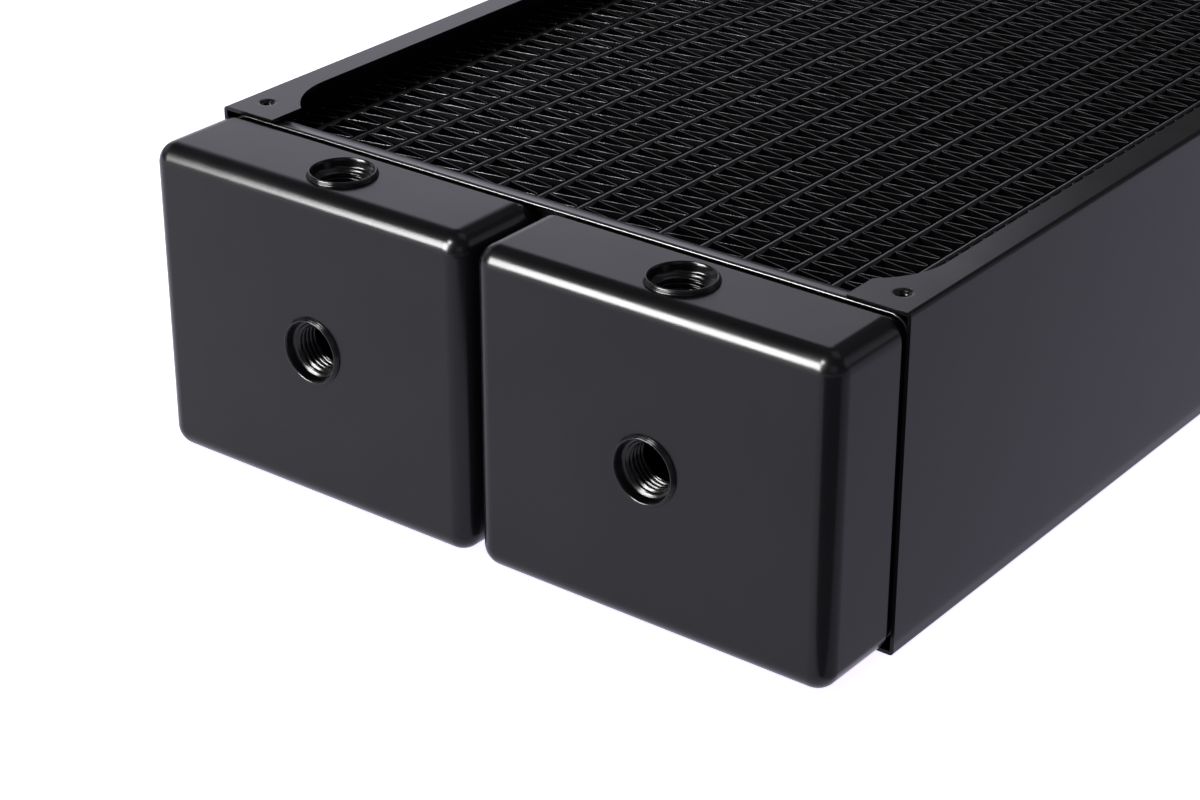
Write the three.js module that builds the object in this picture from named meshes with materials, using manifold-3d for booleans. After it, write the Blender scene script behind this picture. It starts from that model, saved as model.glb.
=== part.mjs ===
// Liquid cooling radiator: an extra-thick soldered core for two 200 mm fans a side.
//
// Millimetres, +Z up. The origin is at the centre of the footprint, on the plane the lower
// flanges stand on. +Y runs along the tubes, from the two port tanks to the return tank.
// Each mesh is one separate piece, with the small gap that solder fills on the real object.

import * as THREE from "three";
import { mergeVertices } from "three/addons/utils/BufferGeometryUtils.js";
import Module from "manifold-3d";

const wasm = await Module();
wasm.setup();

// ---------------------------------------------------------------- driving dimensions

const width = 204;
const height = 86;
const solderGap = 0.3;

// Side panels: C-channels folded from sheet, with pads round the fan screws.
const fanSize = 200;
const screwPitch = 189.5;
const screwInset = 8.3;
const screwHoleRadius = 1.8;
const panelSheet = 1;
const panelBend = 1.4;
const flangeWidth = 8.2;
const padWidth = 16.7;
const padStraight = 10.6;
const padArcRadius = 22.5;
const padArcHeight = 17.6;

// Tanks: drawn boxes, open towards the core, with a skirt that enters the header plate.
const tankFrontReach = 27.1;
const tankBackReach = 1.4;
const tankInset = 1.15;
const tankHalfWidth = 101.3;
const tankHalfGap = 1.35;
const tankWall = 1.5;
const tankCorner = 5.6;
const tankEdge = 5;
const skirtInset = 1.6;
const skirtWall = 1.2;
const skirtEnd = 2.9;

// Header plates: shallow pans with one slot for each tube.
const panHalfWidth = 100.75;
const panInset = 1.6;
const panWall = 0.8;
const panCorner = 5.1;
const panRim = 1.4;
const plateFront = 3.9;
const plateBack = 5.3;

// Core: flat tubes with folded fin strips between them and outside them, sunk between the
// flanges.
const tubeCount = 16;
const tubePitch = 12.28;
const tubeThickness = 2;
const tubeWall = 0.4;
const coreInset = 10.9;
const slotGap = 0.2;
const finSheet = 0.4;
const finFolds = 20;

// Ports: threaded bushes, measured along their own axis from the tank's outer face. The
// inlet's ports stand a little nearer to the middle than the outlet's.
const inletPortX = -49.3;
const outletPortX = 51.3;
const portSetback = 13.7;
const portLipRadius = 8.7;
const portNeckRadius = 8;
const portMouthRadius = 7.7;
const portCounterboreRadius = 7.4;
const portBoreRadius = 5.72;
const portLipHeight = tankInset;
const portLipUnderside = 0.25;
const portCounterboreDepth = 1.4;
const portDepth = 9;

const arcSteps = 2;
const ovalSteps = 1;
const domeSteps = 3;
const portSides = 16;
const holeSides = 12;
const overcut = 5;

// ---------------------------------------------------------------- worked-out places

const shroudLength = fanSize + screwPitch + 2 * screwInset;
const shroudFront = -shroudLength / 2;
const shroudBack = shroudLength / 2;
const middle = height / 2;
const tankTop = height - tankInset;
const tankBottom = tankInset;
const panTop = height - panInset;
const panBottom = panInset;
const coreTop = height - coreInset;
const coreBottom = coreInset;
const tankFront = shroudFront - tankFrontReach;
const portY = shroudFront - portSetback;
const finSpace = tubePitch - tubeThickness - 2 * solderGap;
const outerTubeFace = ((tubeCount - 1) * tubePitch + tubeThickness) / 2;
const outerFinSpace = width / 2 - panelSheet - outerTubeFace - 2 * solderGap;
const finEnd = shroudBack - plateBack - solderGap;
const tubeEnd = shroudBack - plateFront;

// ---------------------------------------------------------------- materials

const lacquer = { color: 0x2b2b2f, roughness: 0.35, metalness: 0.4 };
const finBlack = { color: 0x101013, roughness: 0.5, metalness: 0.3 };
const portBlack = { color: 0x1c1c1f, roughness: 0.25, metalness: 0.6 };

// ---------------------------------------------------------------- solids

function solidOf(geometry) {
  const bare = geometry.clone();
  bare.deleteAttribute("normal");
  bare.deleteAttribute("uv");
  const merged = mergeVertices(bare, 1e-4);
  const vertProperties = new Float32Array(merged.attributes.position.array);
  const triVerts = new Uint32Array(merged.index.array);
  return new wasm.Manifold(new wasm.Mesh({ numProp: 3, vertProperties, triVerts }));
}

function geometryOf(solid) {
  const mesh = solid.getMesh();
  const geometry = new THREE.BufferGeometry();
  geometry.setAttribute("position", new THREE.BufferAttribute(mesh.vertProperties, 3));
  geometry.setIndex(new THREE.BufferAttribute(mesh.triVerts, 1));
  geometry.computeVertexNormals();
  return geometry;
}

// A closed outline in (x, z) with every corner rounded to the same radius.
function roundedOutline(x0, x1, z0, z1, radius) {
  const shape = new THREE.Shape();
  shape.absarc(x1 - radius, z0 + radius, radius, -Math.PI / 2, 0);
  shape.absarc(x1 - radius, z1 - radius, radius, 0, Math.PI / 2);
  shape.absarc(x0 + radius, z1 - radius, radius, Math.PI / 2, Math.PI);
  shape.absarc(x0 + radius, z0 + radius, radius, Math.PI, 1.5 * Math.PI);
  return shape;
}

// An (x, z) outline swept along Y.
function alongY(shape, y0, y1, steps = arcSteps) {
  const options = { depth: y1 - y0, bevelEnabled: false, curveSegments: steps };
  const geometry = new THREE.ExtrudeGeometry(shape, options);
  geometry.rotateX(Math.PI / 2);
  geometry.translate(0, y1, 0);
  return geometry;
}

// An (x, y) outline swept along Z.
function alongZ(shape, z0, z1, steps = arcSteps) {
  const options = { depth: z1 - z0, bevelEnabled: false, curveSegments: steps };
  const geometry = new THREE.ExtrudeGeometry(shape, options);
  geometry.translate(0, 0, z0);
  return geometry;
}

// A prism with rounded long edges and a rounded -Y end, cut off flat at its +Y end.
function domedPrism(x0, x1, z0, z1, y0, y1, corner, edge) {
  const options = {
    depth: y1 - y0,
    curveSegments: arcSteps,
    bevelThickness: edge,
    bevelSize: edge,
    bevelOffset: -edge,
    bevelSegments: domeSteps,
  };
  const shape = roundedOutline(x0, x1, z0, z1, corner);
  const geometry = new THREE.ExtrudeGeometry(shape, options);
  geometry.rotateX(Math.PI / 2);
  geometry.translate(0, y1 + edge, 0);
  const reach = 2 * edge + overcut;
  const waste = new THREE.BoxGeometry(x1 - x0 + overcut, reach, z1 - z0 + overcut);
  waste.translate((x0 + x1) / 2, y1 + reach / 2, (z0 + z1) / 2);
  return solidOf(geometry).subtract(solidOf(waste));
}

// A cylinder through a wall, centred on a point and lying along one axis.
function drill(radius, length, sides, axis, x, y, z) {
  const geometry = new THREE.CylinderGeometry(radius, radius, length, sides);
  if (axis === "z") geometry.rotateX(Math.PI / 2);
  geometry.translate(x, y, z);
  return solidOf(geometry);
}

// ---------------------------------------------------------------- side panels

// The right-hand panel's section: a web with a flange folded in at the top and the bottom.
function channelOutline() {
  const outer = width / 2;
  const inner = outer - panelSheet;
  const tip = outer - padWidth;
  const insideBend = panelBend - panelSheet;
  const shape = new THREE.Shape();
  shape.absarc(outer - panelBend, panelBend, panelBend, -Math.PI / 2, 0);
  shape.absarc(outer - panelBend, height - panelBend, panelBend, 0, Math.PI / 2);
  shape.lineTo(tip, height);
  shape.lineTo(tip, height - panelSheet);
  shape.absarc(inner - insideBend, height - panelBend, insideBend, Math.PI / 2, 0, true);
  shape.absarc(inner - insideBend, panelBend, insideBend, 0, -Math.PI / 2, true);
  shape.lineTo(tip, panelSheet);
  shape.lineTo(tip, 0);
  return shape;
}

// The fan opening's share of one flange, from the pad at y0 to the pad at y1.
function openingOutline(y0, y1) {
  const padEdge = width / 2 - padWidth;
  const flangeEdge = width / 2 - flangeWidth;
  const centre = flangeEdge - padArcRadius;
  const sweep = Math.asin(padArcHeight / padArcRadius);
  const shape = new THREE.Shape();
  shape.absarc(centre, y0 + padStraight + padArcHeight, padArcRadius, -sweep, 0);
  shape.absarc(centre, y1 - padStraight - padArcHeight, padArcRadius, 0, sweep);
  shape.lineTo(padEdge - overcut, y1 - padStraight);
  shape.lineTo(padEdge - overcut, y0 + padStraight);
  return shape;
}

function sidePanel() {
  let solid = solidOf(alongY(channelOutline(), shroudFront, shroudBack));
  for (const y of [shroudFront, 0]) {
    const opening = openingOutline(y, y + shroudBack);
    const cut = alongZ(opening, -overcut, height + overcut, 2 * arcSteps);
    solid = solid.subtract(solidOf(cut));
  }
  const outerScrew = shroudBack - screwInset;
  const screws = [-outerScrew, screwPitch - outerScrew, outerScrew - screwPitch, outerScrew];
  for (const y of screws) {
    const length = height + 2 * overcut;
    const x = screwPitch / 2;
    solid = solid.subtract(drill(screwHoleRadius, length, holeSides, "z", x, y, middle));
  }
  return geometryOf(solid);
}

// ---------------------------------------------------------------- header plates

// An upright flat-oval outline in (x, z), as a tube end or a slot for one.
function flatOval(x, halfThickness, z0, z1) {
  return roundedOutline(x - halfThickness, x + halfThickness, z0, z1, halfThickness - 0.01);
}

function tubePlace(index) {
  return (index - (tubeCount - 1) / 2) * tubePitch;
}

// The front plate: a rim towards the tanks and a slotted base towards the fins.
function headerPlate() {
  const whole = roundedOutline(-panHalfWidth, panHalfWidth, panBottom, panTop, panCorner);
  const inside = roundedOutline(
    panWall - panHalfWidth,
    panHalfWidth - panWall,
    panBottom + panWall,
    panTop - panWall,
    panCorner - panWall,
  );
  let solid = solidOf(alongY(whole, shroudFront + panRim, shroudFront + plateBack));
  solid = solid.subtract(solidOf(alongY(inside, shroudFront, shroudFront + plateFront)));
  for (let i = 0; i < tubeCount; i++) {
    const half = tubeThickness / 2 + slotGap;
    const slot = flatOval(tubePlace(i), half, coreBottom - slotGap, coreTop + slotGap);
    const cut = alongY(slot, shroudFront, shroudFront + 2 * overcut, ovalSteps);
    solid = solid.subtract(solidOf(cut));
  }
  return geometryOf(solid);
}

// ---------------------------------------------------------------- tubes and fins

function flatTube(index) {
  const x = tubePlace(index);
  const half = tubeThickness / 2;
  const outer = flatOval(x, half, coreBottom, coreTop);
  const bore = flatOval(x, half - tubeWall, coreBottom + tubeWall, coreTop - tubeWall);
  outer.holes.push(new THREE.Path(bore.getPoints(ovalSteps).reverse()));
  return alongY(outer, -tubeEnd, tubeEnd, ovalSteps);
}

// A folded strip in (x, y). The folds are coarser than the real pleats, which are too fine
// to be worth a solid each.
function finOutline(halfWidth) {
  const step = (2 * finEnd) / finFolds;
  const slope = Math.atan2(step, 2 * halfWidth);
  const halfAcross = finSheet / 2 / Math.sin(slope);
  const reach = halfWidth - halfAcross;
  const left = [];
  const right = [];
  for (let i = 0; i <= finFolds; i++) {
    const x = i % 2 ? reach : -reach;
    const y = i * step - finEnd;
    left.push(new THREE.Vector2(x - halfAcross, y));
    right.push(new THREE.Vector2(x + halfAcross, y));
  }
  return new THREE.Shape([...right, ...left.reverse()]);
}

// The first and last strips fill the narrower space beside the panels.
function finStrip(index) {
  const outermost = index === 0 || index === tubeCount;
  const outerX = outerTubeFace + solderGap + outerFinSpace / 2;
  const side = index === 0 ? -1 : 1;
  const x = outermost ? side * outerX : tubePlace(index) - tubePitch / 2;
  const space = outermost ? outerFinSpace : finSpace;
  const geometry = alongZ(finOutline(space / 2), coreBottom, coreTop);
  geometry.translate(x, 0, 0);
  return geometry;
}

// ---------------------------------------------------------------- tanks

// A tank at the front end, between x0 and x1, with a hole for each bush that it carries.
function tank(x0, x1, holes) {
  const z0 = tankBottom;
  const z1 = tankTop;
  const back = shroudFront - tankBackReach;
  const inner = skirtInset + skirtWall;
  const bodyCorner = tankCorner - tankWall;
  const bodyEdge = tankEdge - tankWall;
  const w = tankWall;
  const s = skirtInset;
  const skirt = roundedOutline(x0 + s, x1 - s, z0 + s, z1 - s, tankCorner - s);
  const neck = roundedOutline(x0 + inner, x1 - inner, z0 + inner, z1 - inner, tankCorner - inner);
  const skirtBack = shroudFront + skirtEnd;
  let solid = domedPrism(x0, x1, z0, z1, tankFront, back, tankCorner, tankEdge);
  solid = solid.add(solidOf(alongY(skirt, back - w, skirtBack)));
  const hollow = domedPrism(
    x0 + w,
    x1 - w,
    z0 + w,
    z1 - w,
    tankFront + w,
    back - w,
    bodyCorner,
    bodyEdge,
  );
  solid = solid.subtract(hollow);
  solid = solid.subtract(solidOf(alongY(neck, back - 2 * w, skirtBack + overcut)));
  const bore = portNeckRadius + solderGap;
  for (const [axis, x, y, z] of holes) {
    solid = solid.subtract(drill(bore, 2 * overcut, portSides, axis, x, y, z));
  }
  return geometryOf(solid);
}

// ---------------------------------------------------------------- threaded bushes

// Radius and height pairs round the bush's wall. Its axis is Y, with the lip at the top.
function bushProfile() {
  return [
    [portBoreRadius, -portDepth],
    [portNeckRadius, -portDepth],
    [portNeckRadius, portLipUnderside],
    [portLipRadius, portLipUnderside],
    [portLipRadius, portLipHeight],
    [portMouthRadius, portLipHeight],
    [portCounterboreRadius, portLipHeight - portLipUnderside],
    [portCounterboreRadius, -portCounterboreDepth],
    [portBoreRadius, -portCounterboreDepth],
    [portBoreRadius, -portDepth],
  ].map(([r, y]) => new THREE.Vector2(r, y));
}

// ---------------------------------------------------------------- assembly

const group = new THREE.Group();

function place(name, geometry, finish) {
  const mesh = new THREE.Mesh(geometry, new THREE.MeshStandardMaterial(finish));
  mesh.name = name;
  group.add(mesh);
  return mesh;
}

function numbered(name, index) {
  return name + "_" + String(index + 1).padStart(2, "0");
}

place("side_panel_right", sidePanel(), lacquer);
place("side_panel_left", sidePanel(), lacquer).rotation.z = Math.PI;
place("header_plate_front", headerPlate(), lacquer);
place("header_plate_rear", headerPlate(), lacquer).rotation.z = Math.PI;

for (let i = 0; i < tubeCount; i++) {
  place(numbered("flat_tube", i), flatTube(i), finBlack);
}
for (let i = 0; i <= tubeCount; i++) {
  place(numbered("fin_strip", i), finStrip(i), finBlack);
}

// A bush with its lip on the tank's face at (x, y, z), tilted from +Y about the X axis.
function placeBush(name, tilt, x, y, z) {
  const mesh = place("port_" + name, new THREE.LatheGeometry(bushProfile(), portSides), portBlack);
  mesh.rotation.x = tilt;
  mesh.position.set(x, y, z);
}

// The port tanks carry a bush in front, on top and underneath.
for (const [name, side, x] of [["inlet", -1, inletPortX], ["outlet", 1, outletPortX]]) {
  const ends = [side * tankHalfGap, side * tankHalfWidth];
  const holes = [
    ["y", x, tankFront, middle],
    ["z", x, portY, tankTop],
    ["z", x, portY, tankBottom],
  ];
  place("tank_" + name, tank(Math.min(...ends), Math.max(...ends), holes), lacquer);
  placeBush(name + "_front", Math.PI, x, tankFront, middle);
  placeBush(name + "_top", Math.PI / 2, x, portY, tankTop);
  placeBush(name + "_bottom", -Math.PI / 2, x, portY, tankBottom);
}

// The return tank spans the whole width of the other end, with one bush in its end face.
const returnTank = tank(-tankHalfWidth, tankHalfWidth, [["y", 0, tankFront, middle]]);
place("tank_return", returnTank, lacquer).rotation.z = Math.PI;
placeBush("return_end", 0, 0, -tankFront, middle);

export default group;
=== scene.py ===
import math
import random

import bmesh
import bpy
from mathutils import Matrix, Vector


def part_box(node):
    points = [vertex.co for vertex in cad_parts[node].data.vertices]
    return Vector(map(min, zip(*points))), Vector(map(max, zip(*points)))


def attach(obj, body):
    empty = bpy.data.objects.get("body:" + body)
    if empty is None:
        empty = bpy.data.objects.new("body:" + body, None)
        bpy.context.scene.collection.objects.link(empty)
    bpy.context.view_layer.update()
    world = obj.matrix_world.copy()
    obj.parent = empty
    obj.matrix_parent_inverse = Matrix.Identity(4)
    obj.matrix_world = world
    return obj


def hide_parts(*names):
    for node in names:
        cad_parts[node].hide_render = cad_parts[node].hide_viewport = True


# Looks for the liquid cooling radiator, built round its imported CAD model.
#
# Shapes are worked out in millimetres from the CAD boxes, and turned into metres as each
# mesh is made. +Y runs along the tubes, from the two port tanks to the return tank.

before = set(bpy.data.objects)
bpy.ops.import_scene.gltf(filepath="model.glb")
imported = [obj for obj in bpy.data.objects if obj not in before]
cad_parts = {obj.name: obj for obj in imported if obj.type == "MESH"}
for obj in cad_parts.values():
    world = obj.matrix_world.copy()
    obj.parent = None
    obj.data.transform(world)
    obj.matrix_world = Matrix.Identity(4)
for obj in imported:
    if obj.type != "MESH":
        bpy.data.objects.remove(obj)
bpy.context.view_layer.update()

MM = 0.001
SEED = 7


def box_mm(node):
    """A CAD node's lowest and highest corners, in millimetres."""
    low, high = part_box(node)
    return low / MM, high / MM


# ------------------------------------------------------------------ sizes, in millimetres

PANEL_LOW, PANEL_HIGH = box_mm("side_panel_right")
PANEL_SHEET = 1
PANEL_BEND = 1.15
PANEL_EDGE_ROUNDING = 0.2
FLANGE_WIDTH = 8.2
PAD_STRAIGHT = 10.6
PAD_ARC_RADIUS = 22.5
PAD_ARC_HEIGHT = 17.6
SCREW_PITCH = 189.5
SCREW_INSET = 8.3
DIMPLE_RADIUS = 2.7
DIMPLE_DEPTH = 0.6
SCREW_RADIUS = 1.4
SCREW_THREAD_PITCH = 0.7
SCREW_THREAD_DEPTH = 0.25
COLLAR_SEAT = 0.15
COLLAR_WALL = 0.6
COLLAR_DEPTH = 2.9

TANK_WALL = 1.5
TANK_CORNER = 5.6
TANK_EDGE = 5.2
TANK_RIM = 1.1
TANK_BACK = PANEL_LOW.y - 1.4
SKIRT_INSET = 1.6
SKIRT_WALL = 1.2

PAN_WALL = 0.8
PAN_CORNER = 5.1
PLATE_THICKNESS = 1.4
SLOT_GAP = 0.05

TUBES = sorted(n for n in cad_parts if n.startswith("flat_tube"))
FINS = sorted(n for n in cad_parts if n.startswith("fin_strip"))
TUBE_LOW, TUBE_HIGH = box_mm(TUBES[0])
TUBE_THICKNESS = TUBE_HIGH.x - TUBE_LOW.x
TUBE_WALL = 0.3
CORE_LOW, CORE_HIGH = TUBE_LOW.z, TUBE_HIGH.z
FIN_PITCH = 5.45
FIN_PITCH_SCATTER = 0.08
FIN_FOLD_SCATTER = 0.1
FIN_SHEET = 0.2
FIN_FOLD_RADIUS = 0.5
FIN_GAP = 0.02
SOLDER_GAP = box_mm(FINS[1])[0].x - TUBE_HIGH.x

PORT_LIP_RADIUS = 8.75
PORT_LIP_HEIGHT = 1.15
PORT_DEPTH = 9
PORT_NECK_RADIUS = 8
PORT_NECK_GAP = 0.1
PORT_LIP_GAP = 0.02
PORT_MOUTH_RADIUS = 7.45
THREAD_START = -1.6
THREAD_RUNOUT = 0.4
THREAD_MINOR = 5.72
THREAD_MAJOR = 6.58
THREAD_PITCH = 1.337


# ------------------------------------------------------------------ materials


def node_material(name):
    """A new material, its nodes, its links and its shader."""
    material = bpy.data.materials.new(name)
    material.use_nodes = True
    nodes = material.node_tree.nodes
    return material, nodes, material.node_tree.links, nodes["Principled BSDF"]


def add_noise(nodes, links, scale, detail):
    """A noise texture in the object's own metres."""
    coordinates = nodes.new("ShaderNodeTexCoord")
    noise = nodes.new("ShaderNodeTexNoise")
    noise.inputs["Scale"].default_value = scale
    noise.inputs["Detail"].default_value = detail
    links.new(coordinates.outputs["Object"], noise.inputs["Vector"])
    return noise.outputs["Fac"]


def add_range(nodes, links, value, low, high):
    """Maps a 0.3 to 0.7 input to low to high."""
    span = nodes.new("ShaderNodeMapRange")
    span.inputs["From Min"].default_value = 0.3
    span.inputs["From Max"].default_value = 0.7
    span.inputs["To Min"].default_value = low
    span.inputs["To Max"].default_value = high
    links.new(value, span.inputs["Value"])
    return span.outputs["Result"]


def add_mix(nodes, links, factor, first, second):
    """The first colour where the factor is 0, and the second where it is 1."""
    mix = nodes.new("ShaderNodeMix")
    mix.data_type = "RGBA"
    mix.inputs["A"].default_value = (*first, 1)
    mix.inputs["B"].default_value = (*second, 1)
    links.new(factor, mix.inputs["Factor"])
    return mix.outputs["Result"]


def lacquer(name, dark, light, gloss, peel, ior=1.26):
    """Black lacquer: faint cloudiness, roughness that drifts, and an orange-peel skin."""
    material, nodes, links, shader = node_material(name)
    cloud = add_noise(nodes, links, scale=22, detail=4)
    links.new(add_mix(nodes, links, cloud, dark, light), shader.inputs["Base Color"])
    drift = add_noise(nodes, links, scale=60, detail=5)
    links.new(add_range(nodes, links, drift, *gloss), shader.inputs["Roughness"])
    bump = nodes.new("ShaderNodeBump")
    bump.inputs["Strength"].default_value = peel
    bump.inputs["Distance"].default_value = 0.03 * MM
    skin = add_noise(nodes, links, scale=700, detail=2)
    links.new(skin, bump.inputs["Height"])
    links.new(bump.outputs["Normal"], shader.inputs["Normal"])
    shader.inputs["IOR"].default_value = ior
    return material


def core_black(name, edge_highlight_colour, edge_depth, sheen, edge_metallic):
    """Thin satin black, lightened in patches to edge_highlight_colour along the upper and lower
    edges: a painted highlight.

    The lightened patches turn metallic as far as edge_metallic says.
    """
    material, nodes, links, shader = node_material(name)
    coordinates = nodes.new("ShaderNodeTexCoord")
    split = nodes.new("ShaderNodeSeparateXYZ")
    links.new(coordinates.outputs["Object"], split.inputs["Vector"])
    centred = nodes.new("ShaderNodeMath")
    centred.operation = "SUBTRACT"
    centred.inputs[1].default_value = (CORE_LOW + CORE_HIGH) / 2 * MM
    links.new(split.outputs["Z"], centred.inputs[0])
    distance = nodes.new("ShaderNodeMath")
    distance.operation = "ABSOLUTE"
    links.new(centred.outputs["Value"], distance.inputs[0])
    # Painted highlight: a patchy lighter band along the upper and lower edges.
    edge = nodes.new("ShaderNodeMapRange")
    half = (CORE_HIGH - CORE_LOW) / 2
    edge.inputs["From Min"].default_value = (half - edge_depth) * MM
    edge.inputs["From Max"].default_value = (half - edge_depth / 3) * MM
    links.new(distance.outputs["Value"], edge.inputs["Value"])
    edge_highlight_mask = nodes.new("ShaderNodeMath")
    edge_highlight_mask.operation = "MULTIPLY"
    links.new(edge.outputs["Result"], edge_highlight_mask.inputs[0])
    blotches = add_noise(nodes, links, scale=160, detail=4)
    links.new(add_range(nodes, links, blotches, 0.35, 1), edge_highlight_mask.inputs[1])
    black = (0.0015, 0.0015, 0.002)
    # The colour goes from black to the lighter edge colour, which is painted highlight.
    colour = add_mix(nodes, links, edge_highlight_mask.outputs["Value"], black, edge_highlight_colour)
    links.new(colour, shader.inputs["Base Color"])
    grain = add_noise(nodes, links, scale=300, detail=3)
    links.new(add_range(nodes, links, grain, 0.24, 0.32), shader.inputs["Roughness"])
    if edge_metallic:
        metal_share = nodes.new("ShaderNodeMath")
        metal_share.operation = "MULTIPLY"
        metal_share.inputs[1].default_value = edge_metallic
        links.new(edge_highlight_mask.outputs["Value"], metal_share.inputs[0])
        links.new(metal_share.outputs["Value"], shader.inputs["Metallic"])
    shader.inputs["Specular IOR Level"].default_value = sheen
    return material


SHELL = lacquer(
    "black_lacquer",
    dark=(0.004, 0.004, 0.005),
    light=(0.007, 0.0065, 0.008),
    gloss=(0.2, 0.26),
    peel=0.2,
)
HEADER = lacquer(
    "header_lacquer",
    dark=(0.006, 0.006, 0.007),
    light=(0.012, 0.011, 0.013),
    gloss=(0.2, 0.3),
    peel=0.5,
    ior=1.42,
)
PORT = lacquer(
    "port_gloss_black",
    dark=(0.004, 0.004, 0.005),
    light=(0.008, 0.008, 0.009),
    gloss=(0.16, 0.24),
    peel=0.15,
)
# The lighter edges of the fins and tubes are painted highlight, and the fins' edges also reflect as
# metal.
FIN = core_black(
    "fin_black", edge_highlight_colour=(0.13, 0.13, 0.14), edge_depth=0.2, sheen=0.02, edge_metallic=0.85
)
TUBE = core_black(
    "tube_black", edge_highlight_colour=(0.012, 0.012, 0.014), edge_depth=0.5, sheen=0.18, edge_metallic=0
)


# ------------------------------------------------------------------ mesh helpers


def make_object(name, points, faces, material):
    """A mesh object from millimetre points, with its faces turned outwards."""
    mesh = bpy.data.meshes.new(name)
    mesh.from_pydata([Vector(p) * MM for p in points], [], faces)
    shape = bmesh.new()
    shape.from_mesh(mesh)
    bmesh.ops.recalc_face_normals(shape, faces=shape.faces)
    shape.to_mesh(mesh)
    shape.free()
    mesh.materials.append(material)
    made = bpy.data.objects.new(name, mesh)
    bpy.context.scene.collection.objects.link(made)
    return made


def apply_modifiers(target):
    """Replaces the object's mesh with what its modifiers make of it."""
    graph = bpy.context.evaluated_depsgraph_get()
    shaped = bpy.data.meshes.new_from_object(target.evaluated_get(graph))
    target.modifiers.clear()
    target.data = shaped
    return target


def smooth(target, angle=35):
    """Smooth shading that keeps sharp edges crisp and flat faces flat."""
    target.data.shade_smooth()
    target.data.set_sharp_from_angle(angle=math.radians(angle))
    weighted = target.modifiers.new("weighted", "WEIGHTED_NORMAL")
    weighted.keep_sharp = True
    return apply_modifiers(target)


def bevel(target, width, segments=2, angle=50):
    """Rounds every edge that turns by more than the angle."""
    rounding = target.modifiers.new("bevel", "BEVEL")
    rounding.width = width * MM
    rounding.segments = segments
    rounding.limit_method = "ANGLE"
    rounding.angle_limit = math.radians(angle)
    return apply_modifiers(target)


def cut_away(target, cutter):
    """Subtracts the cutter from the target and deletes it."""
    cut = target.modifiers.new("cut", "BOOLEAN")
    cut.operation = "DIFFERENCE"
    cut.solver = "EXACT"
    cut.object = cutter
    apply_modifiers(target)
    bpy.data.objects.remove(cutter)
    return target


def merge_into(target, extra):
    """Adds the extra object's mesh to the target's and deletes the extra object."""
    shape = bmesh.new()
    shape.from_mesh(target.data)
    shape.from_mesh(extra.data)
    shape.to_mesh(target.data)
    shape.free()
    bpy.data.objects.remove(extra)


def join_shapes(shapes):
    """One (points, faces) pair from several."""
    points, faces = [], []
    for some_points, some_faces in shapes:
        start = len(points)
        points += some_points
        faces += [[start + i for i in face] for face in some_faces]
    return points, faces


def loft(rings, caps=True, closed=False):
    """Quads between rings of equal length, with the end rings capped or joined."""
    count = len(rings[0])
    points = [p for ring in rings for p in ring]
    faces = []
    spans = len(rings) if closed else len(rings) - 1
    for r in range(spans):
        here, there = r * count, (r + 1) % len(rings) * count
        for i in range(count):
            j = (i + 1) % count
            faces.append([here + i, here + j, there + j, there + i])
    if caps and not closed:
        faces.append(list(range(count)))
        faces.append([len(points) - count + i for i in range(count)])
    return points, faces


def rounded_outline(x0, x1, z0, z1, radius, steps=10):
    """A closed outline in (x, z) with round corners, counter-clockwise seen from -Y."""
    corners = [(x1, z0, -90), (x1, z1, 0), (x0, z1, 90), (x0, z0, 180)]
    outline = []
    for x, z, start in corners:
        cx = x - radius if x == x1 else x + radius
        cz = z - radius if z == z1 else z + radius
        for k in range(steps + 1):
            turn = math.radians(start + 90 * k / steps)
            outline.append((cx + radius * math.cos(turn), cz + radius * math.sin(turn)))
    return outline


def inset_ring(limits, corner, inset, y, steps=10):
    """The outline limits = (x0, x1, z0, z1) drawn in by inset, standing at y."""
    x0, x1, z0, z1 = limits
    radius = max(corner - inset, 0.3)
    outline = rounded_outline(x0 + inset, x1 - inset, z0 + inset, z1 - inset, radius, steps)
    return [(x, y, z) for x, z in outline]


def prism(outline, low, high, axis="y"):
    """A flat outline swept along Y, where it is in (x, z), or along Z, where it is in (x, y)."""
    if axis == "y":
        rings = [[(a, level, b) for a, b in outline] for level in (low, high)]
    else:
        rings = [[(a, b, level) for a, b in outline] for level in (low, high)]
    return loft(rings)


def circle(x, y, radius, sides):
    """A closed outline round (x, y), counter-clockwise."""
    turns = [2 * math.pi * k / sides for k in range(sides)]
    return [(x + radius * math.cos(t), y + radius * math.sin(t)) for t in turns]


def revolve(profile_at, sides):
    """A closed profile of (radius, height) pairs turned about +Z. It may differ by angle."""
    rings = []
    for k in range(sides):
        turn = 2 * math.pi * k / sides
        rings.append([(r * math.cos(turn), r * math.sin(turn), h) for r, h in profile_at(turn)])
    return loft(rings, caps=False, closed=True)


def moved(shape, matrix):
    """The same shape with its points put through the matrix."""
    points, faces = shape
    return [tuple(matrix @ Vector(p)) for p in points], faces


def mirrored_end(shape):
    """The same shape at the other end of the radiator, turned half round about Z."""
    return moved(shape, Matrix.Rotation(math.pi, 4, "Z"))


def thread_depth(height, turn, pitch):
    """0 at a thread's crest and 1 at its root, for a round thread."""
    return 0.5 - 0.5 * math.cos(2 * math.pi * (height / pitch - turn / (2 * math.pi)))


def finish_piece(piece, slot, *nodes):
    """Hangs the piece on the one body, in place of its CAD nodes."""
    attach(piece, "root")
    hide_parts(*nodes)
    return piece


# ------------------------------------------------------------------ side panels


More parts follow.
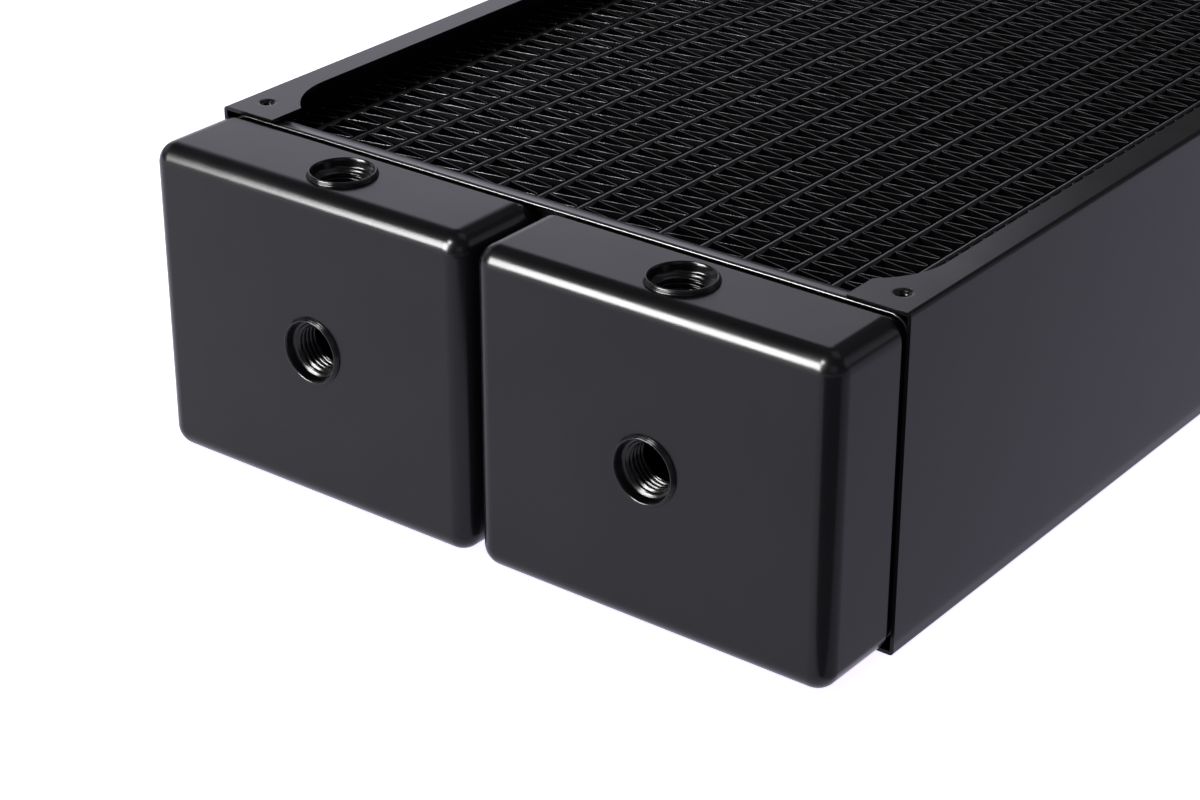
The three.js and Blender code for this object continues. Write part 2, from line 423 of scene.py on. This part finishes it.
def channel_outline(steps=8):
    """The right panel's section in (x, z): a web with a flange folded in at each end."""
    outer, low, high = PANEL_HIGH.x, PANEL_LOW.z, PANEL_HIGH.z
    tip = PANEL_LOW.x
    inside = PANEL_BEND - PANEL_SHEET
    axis = outer - PANEL_BEND
    outline = [(tip, low)]
    for base, start in ((low + PANEL_BEND, -90), (high - PANEL_BEND, 0)):
        for k in range(steps + 1):
            turn = math.radians(start + 90 * k / steps)
            outline.append((axis + PANEL_BEND * math.cos(turn), base + PANEL_BEND * math.sin(turn)))
    outline += [(tip, high), (tip, high - PANEL_SHEET)]
    for base, start in ((high - PANEL_BEND, 90), (low + PANEL_BEND, 0)):
        for k in range(steps + 1):
            turn = math.radians(start - 90 * k / steps)
            outline.append((axis + inside * math.cos(turn), base + inside * math.sin(turn)))
    outline.append((tip, low + PANEL_SHEET))
    return outline


def opening_outline(y0, y1, steps=16):
    """What one fan's opening takes out of a flange, in (x, y)."""
    pad_edge = PANEL_LOW.x
    centre = PANEL_HIGH.x - FLANGE_WIDTH - PAD_ARC_RADIUS
    sweep = math.asin(PAD_ARC_HEIGHT / PAD_ARC_RADIUS)
    outline = [(pad_edge - 4, y0 + PAD_STRAIGHT)]
    low = y0 + PAD_STRAIGHT + PAD_ARC_HEIGHT
    high = y1 - PAD_STRAIGHT - PAD_ARC_HEIGHT
    for base, start in ((low, -sweep), (high, 0)):
        for k in range(steps + 1):
            turn = start + sweep * k / steps
            x = centre + PAD_ARC_RADIUS * math.cos(turn)
            outline.append((x, base + PAD_ARC_RADIUS * math.sin(turn)))
    outline.append((pad_edge - 4, y1 - PAD_STRAIGHT))
    return outline


def screw_profile(turn, dimple_steps=6, thread_steps=16):
    """A dimple that leads into a short threaded collar, with height 0 at the flange's face.

    The collar's edge is sunk into the sheet round the hole, just under its face.
    """
    face, lead = -0.01, 0.1
    edge = DIMPLE_RADIUS + COLLAR_SEAT
    throat, crest = SCREW_RADIUS + 0.15, SCREW_RADIUS - 0.15
    thread_top, thread_end = -DIMPLE_DEPTH - lead, -COLLAR_DEPTH + lead
    profile = [(edge, -PANEL_SHEET + lead), (edge, face)]
    for k in range(dimple_steps + 1):
        share = k / dimple_steps
        radius = DIMPLE_RADIUS - (DIMPLE_RADIUS - throat) * share
        profile.append((radius, face - DIMPLE_DEPTH * share**3))
    for k in range(thread_steps + 1):
        height = thread_top + (thread_end - thread_top) * k / thread_steps
        groove = thread_depth(height, turn, SCREW_THREAD_PITCH)
        profile.append((crest + SCREW_THREAD_DEPTH * groove, height))
    outside = SCREW_RADIUS + COLLAR_WALL
    profile += [(outside, -COLLAR_DEPTH), (outside, -PANEL_SHEET - 0.2)]
    return profile


def side_panel(name, node, turned):
    """The right panel, or the left one where it is turned half round about Z."""
    low, high = PANEL_LOW, PANEL_HIGH
    shape = prism(channel_outline(), low.y, high.y)
    panel = make_object(name, *shape, SHELL)
    spans = ((low.y, 0), (0, high.y))
    below, above = low.z - 5, high.z + 5
    cuts = [prism(opening_outline(*span), below, above, "z") for span in spans]
    outer = high.y - SCREW_INSET
    inner = outer - SCREW_PITCH
    screws = [(SCREW_PITCH / 2, y) for y in (-outer, -inner, inner, outer)]
    cuts += [prism(circle(x, y, DIMPLE_RADIUS, 48), below, above, "z") for x, y in screws]
    cut_away(panel, make_object("cutter", *join_shapes(cuts), SHELL))
    bevel(panel, PANEL_EDGE_ROUNDING)
    collars = []
    for x, y in screws:
        top = Matrix.Translation((x, y, high.z))
        bottom = Matrix.Translation((x, y, low.z)) @ Matrix.Rotation(math.pi, 4, "X")
        collars += [moved(revolve(screw_profile, sides=48), place) for place in (top, bottom)]
    collar = make_object(name + "_collars", *join_shapes(collars), SHELL)
    merge_into(panel, collar)
    if turned:
        panel.data.transform(Matrix.Rotation(math.pi, 4, "Z"))
    return finish_piece(smooth(panel), "shell_lacquer", node)


# ------------------------------------------------------------------ tanks


def tank_shape(limits, y_front, y_back, y_skirt, steps=10):
    """A drawn box open at its back, with a rim, and a skirt drawn in behind the rim."""
    rings = []

    def add(inset, y):
        rings.append(inset_ring(limits, TANK_CORNER, inset, y, steps))

    def add_dome(edge, extra, front, outward):
        order = range(steps + 1) if outward else range(steps, -1, -1)
        for k in order:
            turn = math.radians(90 * k / steps)
            add(extra + edge * (1 - math.sin(turn)), front + edge * (1 - math.cos(turn)))

    add_dome(TANK_EDGE, 0, y_front, True)
    for k in range(5):
        turn = math.radians(90 * k / 4)
        add(TANK_RIM * (1 - math.cos(turn)), y_back - TANK_RIM * (1 - math.sin(turn)))
    inner = SKIRT_INSET + SKIRT_WALL
    add(SKIRT_INSET - 0.2, y_back)
    add(SKIRT_INSET, y_back + 0.2)
    add(SKIRT_INSET, y_skirt)
    add(inner, y_skirt)
    add(inner, y_back - 2 * TANK_WALL)
    add(TANK_WALL, y_back - 2 * TANK_WALL)
    add_dome(TANK_EDGE - TANK_WALL, TANK_WALL, y_front + TANK_WALL, False)
    return loft(rings)


def port_drill(axis, x, y, z):
    """A cylinder through a tank wall where a bush goes in."""
    radius, reach, sides = PORT_NECK_RADIUS + PORT_NECK_GAP, 6, 64
    if axis == "y":
        return prism(circle(x, z, radius, sides), y - reach, y + reach)
    return prism(circle(x, y, radius, sides), z - reach, z + reach, "z")


def tank(name, node, ports, at_far_end=False):
    """A tank with a hole for each port, given by its axis and its place in the wall."""
    low, high = box_mm(node)
    front, skirt = (-high.y, -low.y) if at_far_end else (low.y, high.y)
    limits = (low.x, high.x, low.z, high.z)
    shape = tank_shape(limits, front, TANK_BACK, skirt)
    drills = join_shapes([port_drill(*port) for port in ports])
    if at_far_end:
        shape, drills = mirrored_end(shape), mirrored_end(drills)
    piece = make_object(name, *shape, SHELL)
    cut_away(piece, make_object("cutter", *drills, SHELL))
    return finish_piece(smooth(piece), "shell_lacquer", node)


# ------------------------------------------------------------------ header plates


def flat_oval(x, half, z0, z1, steps=8):
    """A tube's outline in (x, z): straight sides with a half circle at each end."""
    outline = []
    for base, start in ((z0 + half, 180), (z1 - half, 0)):
        for k in range(steps + 1):
            turn = math.radians(start + 180 * k / steps)
            outline.append((x + half * math.cos(turn), base + half * math.sin(turn)))
    return outline


def header_plate(name, node, at_far_end=False):
    """A pan with a rolled rim towards the tanks and one slot for each tube."""
    low, high = box_mm(node)
    front, back = (-high.y, -low.y) if at_far_end else (low.y, high.y)
    limits = (low.x, high.x, low.z, high.z)
    base = back - PLATE_THICKNESS
    rings = []
    # From the back edge along the outside, round the rolled rim, and down the inside.
    profile = [(0.5, back), (0.16, back - 0.1), (0.03, back - 0.3), (0.06, back - 0.5)]
    profile += [(0.17, back - 0.9), (0.18, back - 1.5), (0.16, front + 1.7), (0.05, front + 1)]
    profile += [(0, front + 0.7), (0.05, front + 0.35), (0.22, front + 0.1), (0.42, front)]
    profile += [(PAN_WALL - 0.1, front + 0.05), (PAN_WALL, front + 0.2), (PAN_WALL, base)]
    for inset, y in profile:
        rings.append(inset_ring(limits, PAN_CORNER, inset, y))
    shape = loft(rings)
    slots = []
    for tube in TUBES:
        tube_low, tube_high = box_mm(tube)
        x = (tube_low.x + tube_high.x) / 2
        half = TUBE_THICKNESS / 2 + SLOT_GAP
        outline = flat_oval(x, half, tube_low.z - SLOT_GAP, tube_high.z + SLOT_GAP)
        slots.append(prism(outline, base - 4, back + 4))
    drills = join_shapes(slots)
    if at_far_end:
        shape, drills = mirrored_end(shape), mirrored_end(drills)
    piece = make_object(name, *shape, HEADER)
    cut_away(piece, make_object("cutter", *drills, HEADER))
    return finish_piece(smooth(piece), "header_lacquer", node)


# ------------------------------------------------------------------ core


def flat_tube(name, node):
    """A flat tube with round noses, open at both ends."""
    low, high = box_mm(node)
    x = (low.x + high.x) / 2
    half = (high.x - low.x) / 2
    rings = []
    for wall, y in ((0, low.y), (0, high.y), (TUBE_WALL, high.y), (TUBE_WALL, low.y)):
        outline = flat_oval(x, half - wall, low.z + wall, high.z - wall)
        rings.append([(a, y, b) for a, b in outline])
    piece = make_object(name, *loft(rings, closed=True), TUBE)
    return finish_piece(smooth(piece, 60), "core_black", node)


def fin_path(x, half_width, y0, y1, rng, steps=4):
    """The folded strip's centre line in (x, y): round folds joined by slanted legs."""
    reach = half_width - FIN_FOLD_RADIUS
    step = rng.gauss(FIN_PITCH, FIN_PITCH_SCATTER) / 2
    span = math.hypot(2 * reach, step)
    slant = math.atan2(step, 2 * reach)
    sweep = math.pi - slant - math.acos(2 * FIN_FOLD_RADIUS / span)
    folds = int((y1 - y0) / step) - 1
    start = y0 + rng.uniform(0.4, 0.9) * step
    first_side = rng.choice((0, 1))
    path = []
    for i in range(folds):
        y = start + i * step + rng.gauss(0, FIN_FOLD_SCATTER)
        side = 1 if (i + first_side) % 2 else -1
        for k in range(steps + 1):
            turn = -sweep + 2 * sweep * k / steps
            bend = FIN_FOLD_RADIUS
            path.append((x + side * (reach + bend * math.cos(turn)), y + bend * math.sin(turn)))
    return path


def sweep_sheet(path, sheet, z0, z1):
    """A thin sheet standing on a path in (x, y), with rounded upper and lower edges."""
    half = sheet / 2
    section = [(-half, z1 - half), (0, z1), (half, z1 - half)]
    section += [(half, z0 + half), (0, z0), (-half, z0 + half)]
    rings = []
    for i, (x, y) in enumerate(path):
        before, after = path[max(i - 1, 0)], path[min(i + 1, len(path) - 1)]
        dx, dy = after[0] - before[0], after[1] - before[1]
        length = math.hypot(dx, dy)
        nx, ny = -dy / length, dx / length
        rings.append([(x + nx * s, y + ny * s, z) for s, z in section])
    return loft(rings)


def fin_strip(name, node, rng):
    """A folded strip, widened on both sides into the solder gap, up to FIN_GAP."""
    low, high = box_mm(node)
    x = (low.x + high.x) / 2
    half_width = (high.x - low.x) / 2 + SOLDER_GAP - FIN_SHEET / 2 - FIN_GAP
    path = fin_path(x, half_width, low.y, high.y, rng)
    piece = make_object(name, *sweep_sheet(path, FIN_SHEET, low.z, high.z), FIN)
    piece.data.shade_smooth()
    return finish_piece(piece, "core_black", node)


# ------------------------------------------------------------------ ports


def bush_profile(turn):
    """A threaded bush about +Z: a beaded lip, a smooth mouth, a step and a round thread."""
    lip, top, mouth = PORT_LIP_RADIUS, PORT_LIP_HEIGHT, PORT_MOUTH_RADIUS
    profile = [
        (PORT_NECK_RADIUS, -PORT_DEPTH),
        (PORT_NECK_RADIUS, PORT_LIP_GAP),
        (lip - 0.1, PORT_LIP_GAP),
        (lip, 0.08),
        (lip, 0.16),
        (lip - 0.1, 0.28),
        (lip - 0.22, 0.36),
        (lip - 0.22, 0.44),
        (lip - 0.12, 0.54),
        (lip - 0.16, 0.68),
        (lip - 0.3, 0.78),
        (lip - 0.4, 0.86),
        (lip - 0.42, 0.98),
        (lip - 0.52, top - 0.04),
        (lip - 0.66, top),
        (lip - 0.82, top - 0.03),
        (lip - 0.96, 0.98),
        (lip - 1.05, 0.8),
    ]
    profile += [(mouth + 0.1, 0.3), (mouth, -0.9), (mouth - 0.1, -1.2)]
    profile += [(mouth - 0.35, -1.38), (mouth - 0.7, -1.42)]
    rows, fade_rows = 48, 4
    end = -PORT_DEPTH + THREAD_RUNOUT
    for k in range(rows + 1):
        height = THREAD_START + (end - THREAD_START) * k / rows
        fade = min(1, k / fade_rows, (rows - k) / fade_rows)
        groove = thread_depth(height, turn, THREAD_PITCH)
        relief = (THREAD_MAJOR - THREAD_MINOR) * (groove if fade == 1 else 1 - fade * (1 - groove))
        profile.append((THREAD_MINOR + relief, height))
    profile.append((THREAD_MAJOR, -PORT_DEPTH))
    return profile


def port_bush(name, node, axis, sign):
    """A bush whose lip faces along the axis, towards plus or minus as the sign says."""
    low, high = box_mm(node)
    centre = (low + high) / 2
    lip = high if sign > 0 else low
    if axis == "z":
        place = Vector((centre.x, centre.y, lip.z - sign * PORT_LIP_HEIGHT))
        turn = Matrix.Rotation(0 if sign > 0 else math.pi, 4, "X")
    else:
        place = Vector((centre.x, lip.y - sign * PORT_LIP_HEIGHT, centre.z))
        turn = Matrix.Rotation(-sign * math.pi / 2, 4, "X")
    shape = moved(revolve(bush_profile, sides=96), Matrix.Translation(place) @ turn)
    piece = make_object(name, *shape, PORT)
    piece.data.shade_smooth()
    return finish_piece(piece, "port_black", node)


# ------------------------------------------------------------------ assembly

side_panel("panel_skin_right", "side_panel_right", False)
side_panel("panel_skin_left", "side_panel_left", True)

# Each port's axis, and which way along it the lip faces.
port_axes = {"front": ("y", -1), "top": ("z", 1), "bottom": ("z", -1)}
for side in ("inlet", "outlet"):
    low, high = box_mm("tank_" + side)
    top_low, top_high = box_mm(f"port_{side}_top")
    x, y, _ = (top_low + top_high) / 2
    z = (low.z + high.z) / 2
    drills = [("y", x, low.y, z), ("z", x, y, high.z), ("z", x, y, low.z)]
    tank(side + "_tank_shell", "tank_" + side, drills)
    for where, (axis, sign) in port_axes.items():
        port_bush(f"{side}_{where}_bush", f"port_{side}_{where}", axis, sign)

low, high = box_mm("tank_return")
tank("return_tank_shell", "tank_return", [("y", 0, -high.y, (low.z + high.z) / 2)], True)
port_bush("return_end_bush", "port_return_end", "y", 1)

header_plate("header_pan_front", "header_plate_front")
header_plate("header_pan_rear", "header_plate_rear", True)

rng = random.Random(SEED)
for node in TUBES:
    flat_tube(node.replace("flat_tube", "oval_tube"), node)
for node in FINS:
    fin_strip(node.replace("fin_strip", "pleated_fin"), node, rng)


# ------------------------------------------------------------------ studio
#
# The floor and the cards are in millimetres, and the lights in metres.

FLOOR_REACH = 12000
FLOOR_LEVEL = -0.2
FLOOR_GLOW = 1.12
CARD_LEVEL = 1
CARD_GLOW = 0.74
CARD_START = 104
CARD_SPLIT = PANEL_LOW.y - 30
WORLD_STRENGTH = 0.14
COOL = (0.88, 0.86, 1)
FILL_SIZE = (1.8, 1.5)
FILL_POWER = 8


def glow(shader, strength):
    """A steady cool glow, which keeps white things white and reflects a little violet."""
    shader.inputs["Emission Color"].default_value = (0.84, 0.81, 1, 1)
    shader.inputs["Emission Strength"].default_value = strength


def matt(name, colour, roughness):
    """A plain material and its shader."""
    material, _, _, shader = node_material(name)
    shader.inputs["Base Color"].default_value = (*colour, 1)
    shader.inputs["Roughness"].default_value = roughness
    return material, shader


def level_face(span_x, span_y, level):
    """The corners and the one face of a level rectangle."""
    (x0, x1), (y0, y1) = span_x, span_y
    return [(x0, y0, level), (x1, y0, level), (x1, y1, level), (x0, y1, level)], [[0, 1, 2, 3]]


def floor():
    """A plain white floor just under the part, as evenly lit as a light table."""
    material, shader = matt("floor_white", (0.88, 0.88, 0.885), 0.9)
    glow(shader, FLOOR_GLOW)
    span = (-FLOOR_REACH, FLOOR_REACH)
    make_object("floor", *level_face(span, span, FLOOR_LEVEL), material)


def area_light(name, place, target, size, power, seen_in, colour=(1, 1, 1)):
    """A soft light that shows either in glossy reflections or as diffuse light."""
    data = bpy.data.lights.new(name, "AREA")
    data.shape = "RECTANGLE"
    data.size, data.size_y = size
    data.energy = power
    data.color = colour
    lamp = bpy.data.objects.new(name, data)
    bpy.context.scene.collection.objects.link(lamp)
    lamp.location = place
    aim = Vector(target) - Vector(place)
    lamp.rotation_euler = aim.to_track_quat("-Z", "Y").to_euler()
    lamp.visible_glossy = seen_in == "glossy"
    lamp.visible_diffuse = seen_in == "diffuse"
    lamp.visible_camera = False


def card(name, span_x, span_y, material):
    """A card just above the floor that only reflections see."""
    flag = make_object(name, *level_face(span_x, span_y, CARD_LEVEL), material)
    flag.visible_camera = False
    flag.visible_diffuse = False
    flag.visible_shadow = False


def cards():
    """Cards on the right, which keep the corners black and the long side dark."""
    black, _ = matt("black_card", (0.002, 0.002, 0.002), 1)
    card("black_card", (CARD_START, 900), (-900, CARD_SPLIT), black)
    grey, shader = matt("grey_card", (0.02, 0.02, 0.02), 0.5)
    glow(shader, CARD_GLOW)
    card("grey_card", (CARD_START, 3000), (CARD_SPLIT, 3000), grey)


def background():
    """An even, dim white all round."""
    world = bpy.data.worlds.new("studio")
    bpy.context.scene.world = world
    world.use_nodes = True
    sky = world.node_tree.nodes["Background"]
    sky.inputs["Color"].default_value = (1, 1, 1, 1)
    sky.inputs["Strength"].default_value = WORLD_STRENGTH


def lights():
    """Diffuse light from above, and for reflections a screen, two boxes and four fills."""
    area_light(
        "overhead",
        place=(-0.25, 0.1, 3.2),
        target=(-0.05, 0, 0),
        size=(2.6, 2.6),
        power=45,
        seen_in="diffuse",
    )
    area_light(
        "back_screen",
        place=(-2.45, 2.06, 1.2),
        target=(0, 0, 0.05),
        size=(2.4, 2.3),
        power=22,
        seen_in="glossy",
        colour=COOL,
    )
    area_light(
        "front_strip",
        place=(-0.95, -2, 0.85),
        target=(0, -0.2, 0.05),
        size=(1.05, 1),
        power=280,
        seen_in="glossy",
    )
    area_light(
        "front_box",
        place=(-0.55, -2.1, 2.1),
        target=(0, 0, 0),
        size=(0.7, 0.8),
        power=140,
        seen_in="glossy",
    )
    fills = {
        "fill_left": (-3, -0.2, 1.3),
        "fill_right_front": (2.3, -2.1, 1.5),
        "fill_right_back": (2.4, 1.9, 1.4),
        "fill_top": (0.6, 0.9, 2.8),
    }
    for name, place in fills.items():
        area_light(name, place, (0, 0, 0.05), FILL_SIZE, FILL_POWER, "glossy", COOL)


def camera():
    """The camera, aimed at a point in the plane of the side panels' front ends."""
    data = bpy.data.cameras.new("camera")
    data.lens = 85.84
    data.sensor_width = 36
    data.clip_end = 100
    viewer = bpy.data.objects.new("camera", data)
    bpy.context.scene.collection.objects.link(viewer)
    azimuth, elevation, distance = math.radians(37.58), math.radians(26.79), 678.5
    target = Vector((17.9, PANEL_LOW.y, 39.5))
    level = math.cos(elevation)
    back = Vector((math.sin(azimuth) * level, -math.cos(azimuth) * level, math.sin(elevation)))
    viewer.location = (target + back * distance) * MM
    viewer.rotation_euler = (-back).to_track_quat("-Z", "Y").to_euler()
    bpy.context.scene.camera = viewer


floor()
background()
lights()
cards()
camera()
bpy.context.scene.view_settings.view_transform = "Standard"
